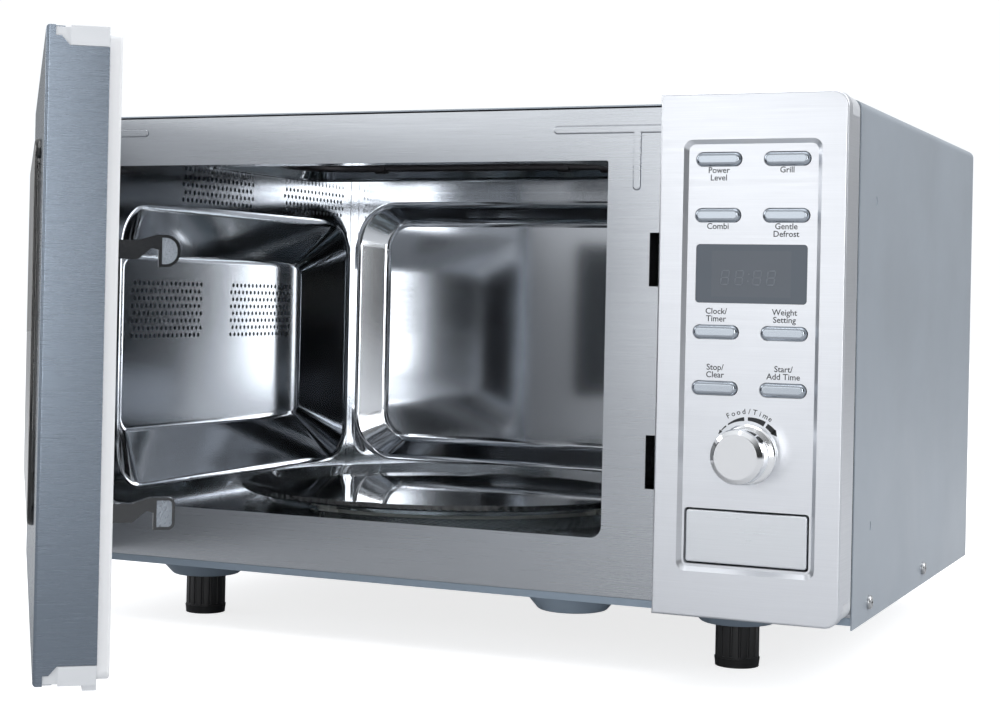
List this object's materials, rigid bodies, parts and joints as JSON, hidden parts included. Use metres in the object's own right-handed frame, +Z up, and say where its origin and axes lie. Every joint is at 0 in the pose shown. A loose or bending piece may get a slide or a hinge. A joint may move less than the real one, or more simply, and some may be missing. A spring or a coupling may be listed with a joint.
{
  "type": "microwave oven",
  "caption": "Countertop microwave oven with grill: steel cabinet, side-hinged push-to-open door standing open, glass turntable and button and knob controls.",
  "frame": {"origin": "on the floor, midway between the four feet", "axes": "+Z up; the front faces -Y; +X is to the right when facing the front"},
  "size_m": [0.5256, 0.6887, 0.319],
  "materials": {
    "cabinet_paint": "satin light blue-grey paint",
    "base_paint": "satin light blue-grey paint",
    "face_steel": "fine horizontal brushing",
    "cavity_steel": "bright polished stainless",
    "panel_steel": "fine horizontal brushing",
    "door_steel": "brushed along the door",
    "zinc": "galvanised sheet",
    "mica": "pressed mica sheet",
    "heater_steel": "oxidised heater sheath",
    "table_glass": "clear tempered glass",
    "coupler_plastic": "moulded",
    "pin_steel": "turned",
    "motor_steel": "zinc plated",
    "ring_plastic": "moulded",
    "roller_plastic": "moulded",
    "magnetron_metal": "pressed and plated",
    "transformer_iron": "varnished laminations",
    "capacitor_metal": "drawn can",
    "duct_plastic": "moulded",
    "fan_plastic": "moulded",
    "lamp_glass": "bulb and holder",
    "board_green": "circuit board",
    "thermostat_black": "moulded",
    "frame_plastic": "light grey moulding",
    "display_smoke": "smoked window",
    "knob_chrome": "bright plated",
    "button_chrome": "satin plated",
    "release_steel": "brushed",
    "black_plastic": "moulded",
    "foot_rubber": "moulded",
    "screw_steel": "plated",
    "hinge_steel": "plated",
    "door_glass": "dark tempered glass",
    "door_moulding": "silver moulding",
    "choke_metal": "dark enamel",
    "screen_metal": "perforated sheet",
    "cover_plastic": "light moulding",
    "inner_clear": "clear sheet",
    "spring_steel": "spring wire"
  },
  "bodies": {
    "cabinet": {"outer_wrapper": "cabinet_paint", "base_plate": "base_paint", "rear_panel": "zinc", "front_plate": "face_steel", "cavity_left_wall": "cavity_steel", "cavity_right_wall": "cavity_steel", "cavity_rear_wall": "cavity_steel", "cavity_ceiling": "cavity_steel", "cavity_floor": "cavity_steel", "waveguide_cover": "mica", "waveguide": "zinc", "grill_heater": "heater_steel", "turntable_motor": "motor_steel", "magnetron": "magnetron_metal", "high_voltage_transformer": "transformer_iron", "capacitor": "capacitor_metal", "fan_duct": "duct_plastic", "fan_motor": "motor_steel", "cavity_lamp": "lamp_glass", "thermostats": "thermostat_black", "filter_board": "board_green", "control_fascia": "panel_steel", "control_frame": "frame_plastic", "display_window": "display_smoke", "control_board": "board_green", "latch_housing": "black_plastic", "interlock_switches": "black_plastic", "feet": "foot_rubber", "cover_screws": "screw_steel", "cord_gland": "black_plastic", "hinge_brackets": "hinge_steel"},
    "door": {"door_skin": "door_steel", "door_frame": "door_moulding", "door_window": "door_glass", "door_choke_panel": "choke_metal", "door_screen": "screen_metal", "door_inner_cover": "cover_plastic", "door_inner_window": "inner_clear", "latch_spring": "spring_steel"},
    "hooks": {"latch_hooks": "black_plastic"},
    "turntable": {"glass_turntable": "table_glass", "turntable_coupler": "coupler_plastic", "turntable_shaft": "pin_steel"},
    "roller_carrier": {"roller_ring": "ring_plastic"},
    "fan": {"fan_blade": "fan_plastic"},
    "knob": {"knob": "knob_chrome", "encoder_shaft": "pin_steel"},
    "release": {"release_button": "release_steel"},
    "lever": {"release_lever": "black_plastic"},
    "roller_1": {"roller_1": "roller_plastic"},
    "roller_2": {"roller_2": "roller_plastic"},
    "roller_3": {"roller_3": "roller_plastic"},
    "button_1": {"push_button_1": "button_chrome"},
    "button_2": {"push_button_2": "button_chrome"},
    "button_3": {"push_button_3": "button_chrome"},
    "button_4": {"push_button_4": "button_chrome"},
    "button_5": {"push_button_5": "button_chrome"},
    "button_6": {"push_button_6": "button_chrome"},
    "button_7": {"push_button_7": "button_chrome"},
    "button_8": {"push_button_8": "button_chrome"}
  },
  "joints": [
    {"name": "door_hinge", "type": "hinge", "parent": "cabinet", "child": "door", "pos_m": [-0.25, -0.188, 0.179], "axis": [0, 0, -1], "range_deg": [-51.5, 58.5]},
    {"name": "latch_slide", "type": "slide", "parent": "door", "child": "hooks", "axis": [0, 0, 1], "range_m": [0, 0.003], "stiffness_N_per_m": 400, "springref_m": -0.004, "deforming": ["latch_spring"]},
    {"name": "turntable_spin", "type": "hinge", "parent": "cabinet", "child": "turntable", "pos_m": [-0.0535, -0.0097, 0.07], "axis": [0, 0, 1], "continuous": true},
    {"name": "roller_carrier_spin", "type": "hinge", "parent": "cabinet", "child": "roller_carrier", "pos_m": [-0.0535, -0.0097, 0.066], "axis": [0, 0, 1], "continuous": true},
    {"name": "roller_1_spin", "type": "hinge", "parent": "roller_carrier", "child": "roller_1", "pos_m": [0.0475, -0.0097, 0.0665], "axis": [1, 0, 0], "continuous": true},
    {"name": "roller_2_spin", "type": "hinge", "parent": "roller_carrier", "child": "roller_2", "pos_m": [-0.104, 0.07777, 0.0665], "axis": [-0.5, 0.866, 0], "continuous": true},
    {"name": "roller_3_spin", "type": "hinge", "parent": "roller_carrier", "child": "roller_3", "pos_m": [-0.104, -0.09717, 0.0665], "axis": [-0.5, -0.866, 0], "continuous": true},
    {"name": "fan_spin", "type": "hinge", "parent": "cabinet", "child": "fan", "pos_m": [0.187, 0.15, 0.242], "axis": [0, 1, 0], "continuous": true},
    {"name": "knob_turn", "type": "hinge", "parent": "cabinet", "child": "knob", "pos_m": [0.20525, -0.202, 0.127], "axis": [0, 1, 0], "continuous": true},
    {"name": "button_1_press", "type": "slide", "parent": "cabinet", "child": "button_1", "axis": [0, 1, 0], "range_m": [0, 0.0008], "stiffness_N_per_m": 300, "springref_m": -0.001},
    {"name": "button_2_press", "type": "slide", "parent": "cabinet", "child": "button_2", "axis": [0, 1, 0], "range_m": [0, 0.0008], "stiffness_N_per_m": 300, "springref_m": -0.001},
    {"name": "button_3_press", "type": "slide", "parent": "cabinet", "child": "button_3", "axis": [0, 1, 0], "range_m": [0, 0.0008], "stiffness_N_per_m": 300, "springref_m": -0.001},
    {"name": "button_4_press", "type": "slide", "parent": "cabinet", "child": "button_4", "axis": [0, 1, 0], "range_m": [0, 0.0008], "stiffness_N_per_m": 300, "springref_m": -0.001},
    {"name": "button_5_press", "type": "slide", "parent": "cabinet", "child": "button_5", "axis": [0, 1, 0], "range_m": [0, 0.0008], "stiffness_N_per_m": 300, "springref_m": -0.001},
    {"name": "button_6_press", "type": "slide", "parent": "cabinet", "child": "button_6", "axis": [0, 1, 0], "range_m": [0, 0.0008], "stiffness_N_per_m": 300, "springref_m": -0.001},
    {"name": "button_7_press", "type": "slide", "parent": "cabinet", "child": "button_7", "axis": [0, 1, 0], "range_m": [0, 0.0008], "stiffness_N_per_m": 300, "springref_m": -0.001},
    {"name": "button_8_press", "type": "slide", "parent": "cabinet", "child": "button_8", "axis": [0, 1, 0], "range_m": [0, 0.0008], "stiffness_N_per_m": 300, "springref_m": -0.001},
    {"name": "release_press", "type": "slide", "parent": "cabinet", "child": "release", "axis": [0, 1, 0], "range_m": [0, 0.005], "stiffness_N_per_m": 250, "springref_m": -0.002},
    {"name": "release_rocker", "type": "hinge", "parent": "cabinet", "child": "lever", "pos_m": [0.20525, -0.164, 0.098], "axis": [1, 0, 0], "range_deg": [0, 12.9]}
  ],
  "couplings": [
    {"joint": "roller_carrier_spin", "follows": "turntable_spin", "ratio": 0.5},
    {"joint": "roller_1_spin", "follows": "turntable_spin", "ratio": -8.1452},
    {"joint": "roller_2_spin", "follows": "turntable_spin", "ratio": -8.1452},
    {"joint": "roller_3_spin", "follows": "turntable_spin", "ratio": -8.1452},
    {"joint": "release_rocker", "follows": "release_press", "rad_per_m": 45}
  ]
}
